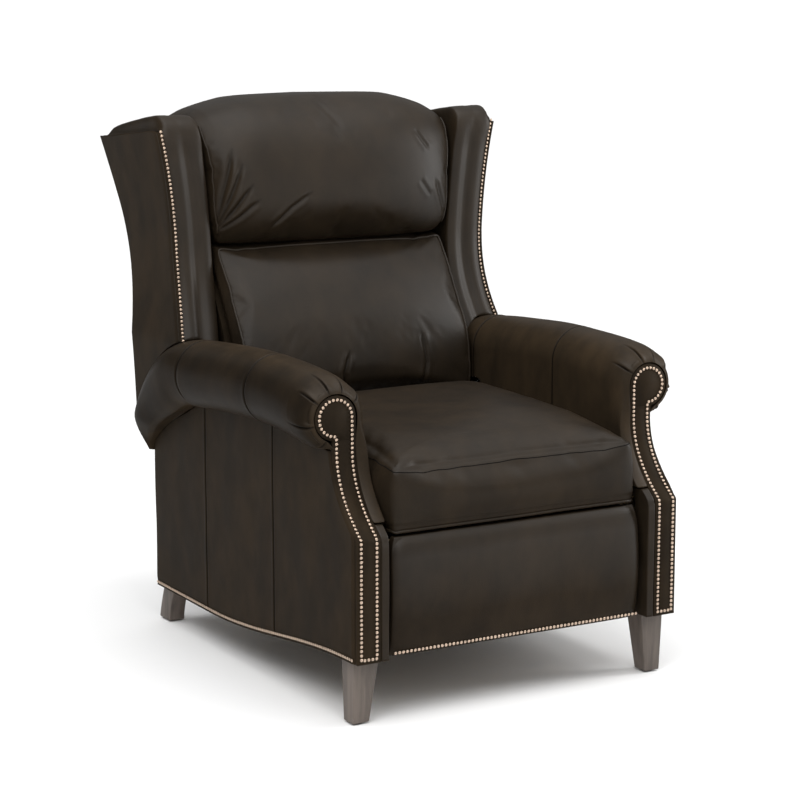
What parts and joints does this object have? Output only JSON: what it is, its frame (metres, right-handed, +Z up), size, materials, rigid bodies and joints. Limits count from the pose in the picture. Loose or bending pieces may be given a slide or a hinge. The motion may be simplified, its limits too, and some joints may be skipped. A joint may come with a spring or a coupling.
{
  "type": "wingback recliner",
  "caption": "Wingback push-back recliner with rolled arms, keyhole arm facings, reclining back, sliding seat and a linkage footrest.",
  "frame": {"origin": "on the floor under the middle of the chair, halfway between the arm facings and the rear of the wings", "axes": "+X across the chair, to the right of someone who looks at its front; +Y towards its back; +Z up"},
  "size_m": [0.8726, 1.052, 1.163],
  "materials": {
    "leather": "satin",
    "leg_wood": "satin",
    "frame_timber": "matte",
    "mechanism_steel": "satin",
    "lining_cloth": "matte",
    "glide_felt": "matte"
  },
  "bodies": {
    "base": {"side_rail_left": "frame_timber", "side_rail_right": "frame_timber", "rear_rail": "frame_timber", "front_stretcher": "frame_timber", "corner_blocks": "frame_timber", "arm_board_left": "frame_timber", "arm_board_right": "frame_timber", "arm_post_left": "frame_timber", "arm_post_right": "frame_timber", "arm_lining_left": "leather", "arm_lining_right": "leather", "arm_pad_left": "leather", "arm_pad_right": "leather", "arm_panel_left": "leather", "arm_panel_right": "leather", "arm_facing_left": "leather", "arm_facing_right": "leather", "rear_panel": "leather", "leg_front_left": "leg_wood", "leg_front_right": "leg_wood", "leg_rear_left": "leg_wood", "leg_rear_right": "leg_wood", "leg_glides": "glide_felt", "base_plate_left": "mechanism_steel", "base_plate_right": "mechanism_steel"},
    "seat": {"seat_plate_left": "mechanism_steel", "seat_plate_right": "mechanism_steel", "seat_frame": "frame_timber", "seat_bearers": "frame_timber", "seat_springs": "mechanism_steel", "seat_deck": "lining_cloth", "seat_cushion": "leather"},
    "back": {"back_bracket_left": "mechanism_steel", "back_bracket_right": "mechanism_steel", "back_side_left": "frame_timber", "back_side_right": "frame_timber", "back_cross_rails": "frame_timber", "back_webbing": "lining_cloth", "lumbar_cushion": "leather", "head_cushion": "leather", "wing_panel_left": "leather", "wing_panel_right": "leather", "wing_pad_left": "leather", "wing_pad_right": "leather", "outside_back": "leather"},
    "rear_links": {"torque_tube": "mechanism_steel", "rear_link_left": "mechanism_steel", "rear_link_right": "mechanism_steel"},
    "cross_link_left_body": {"cross_link_left": "mechanism_steel"},
    "front_link_left_body": {"front_link_left": "mechanism_steel"},
    "long_link_left_body": {"long_link_left": "mechanism_steel"},
    "cross_link_right_body": {"cross_link_right": "mechanism_steel"},
    "front_link_right_body": {"front_link_right": "mechanism_steel"},
    "long_link_right_body": {"long_link_right": "mechanism_steel"},
    "short_links_body": {"short_links": "mechanism_steel"},
    "footrest": {"footrest_bracket_left": "mechanism_steel", "footrest_bracket_right": "mechanism_steel", "footrest_board": "frame_timber", "footrest_pad": "leather"}
  },
  "joints": [
    {"name": "back_recline", "type": "hinge", "parent": "base", "child": "back", "pos_m": [0, 0.12, 0.376], "axis": [-1, 0, 0], "range_deg": [0, 32]},
    {"name": "seat_slide", "type": "slide", "parent": "base", "child": "seat", "axis": [0, -1, 0], "range_m": [0, 0.06074]},
    {"name": "footrest_open", "type": "hinge", "parent": "seat", "child": "rear_links", "pos_m": [0, -0.395, 0.14998], "axis": [1, 0, 0], "range_deg": [0, 44]},
    {"name": "cross_link_left_turn", "type": "hinge", "parent": "rear_links", "child": "cross_link_left_body", "pos_m": [-0.2895, -0.40892, 0.24901], "axis": [-1, 0, 0], "range_deg": [0, 134.01]},
    {"name": "front_link_left_turn", "type": "hinge", "parent": "cross_link_left_body", "child": "front_link_left_body", "pos_m": [-0.2845, -0.41589, 0.14925], "axis": [1, 0, 0], "range_deg": [0, 134.01]},
    {"name": "long_link_left_turn", "type": "hinge", "parent": "front_link_left_body", "child": "long_link_left_body", "pos_m": [-0.2895, -0.42981, 0.24828], "axis": [-1, 0, 0], "range_deg": [0, 134.01]},
    {"name": "cross_link_right_turn", "type": "hinge", "parent": "rear_links", "child": "cross_link_right_body", "pos_m": [0.2895, -0.40892, 0.24901], "axis": [-1, 0, 0], "range_deg": [0, 134.01]},
    {"name": "front_link_right_turn", "type": "hinge", "parent": "cross_link_right_body", "child": "front_link_right_body", "pos_m": [0.2845, -0.41589, 0.14925], "axis": [1, 0, 0], "range_deg": [0, 134.01]},
    {"name": "long_link_right_turn", "type": "hinge", "parent": "front_link_right_body", "child": "long_link_right_body", "pos_m": [0.2895, -0.42981, 0.24828], "axis": [-1, 0, 0], "range_deg": [0, 134.01]},
    {"name": "footrest_turn", "type": "hinge", "parent": "front_link_left_body", "child": "footrest", "pos_m": [0, -0.44373, 0.3473], "axis": [-1, 0, 0], "range_deg": [0, 134.01]},
    {"name": "short_links_turn", "type": "hinge", "parent": "long_link_left_body", "child": "short_links_body", "pos_m": [0, -0.43679, 0.14852], "axis": [1, 0, 0], "range_deg": [0, 134.01]}
  ],
  "couplings": [
    {"joint": "seat_slide", "follows": "back_recline", "m_per_rad": 0.10858},
    {"joint": "cross_link_left_turn", "follows": "footrest_open", "ratio": 3.0455},
    {"joint": "front_link_left_turn", "follows": "footrest_open", "ratio": 3.0455},
    {"joint": "long_link_left_turn", "follows": "footrest_open", "ratio": 3.0455},
    {"joint": "cross_link_right_turn", "follows": "footrest_open", "ratio": 3.0455},
    {"joint": "front_link_right_turn", "follows": "footrest_open", "ratio": 3.0455},
    {"joint": "long_link_right_turn", "follows": "footrest_open", "ratio": 3.0455},
    {"joint": "footrest_turn", "follows": "footrest_open", "ratio": 3.0455},
    {"joint": "short_links_turn", "follows": "footrest_open", "ratio": 3.0455}
  ]
}
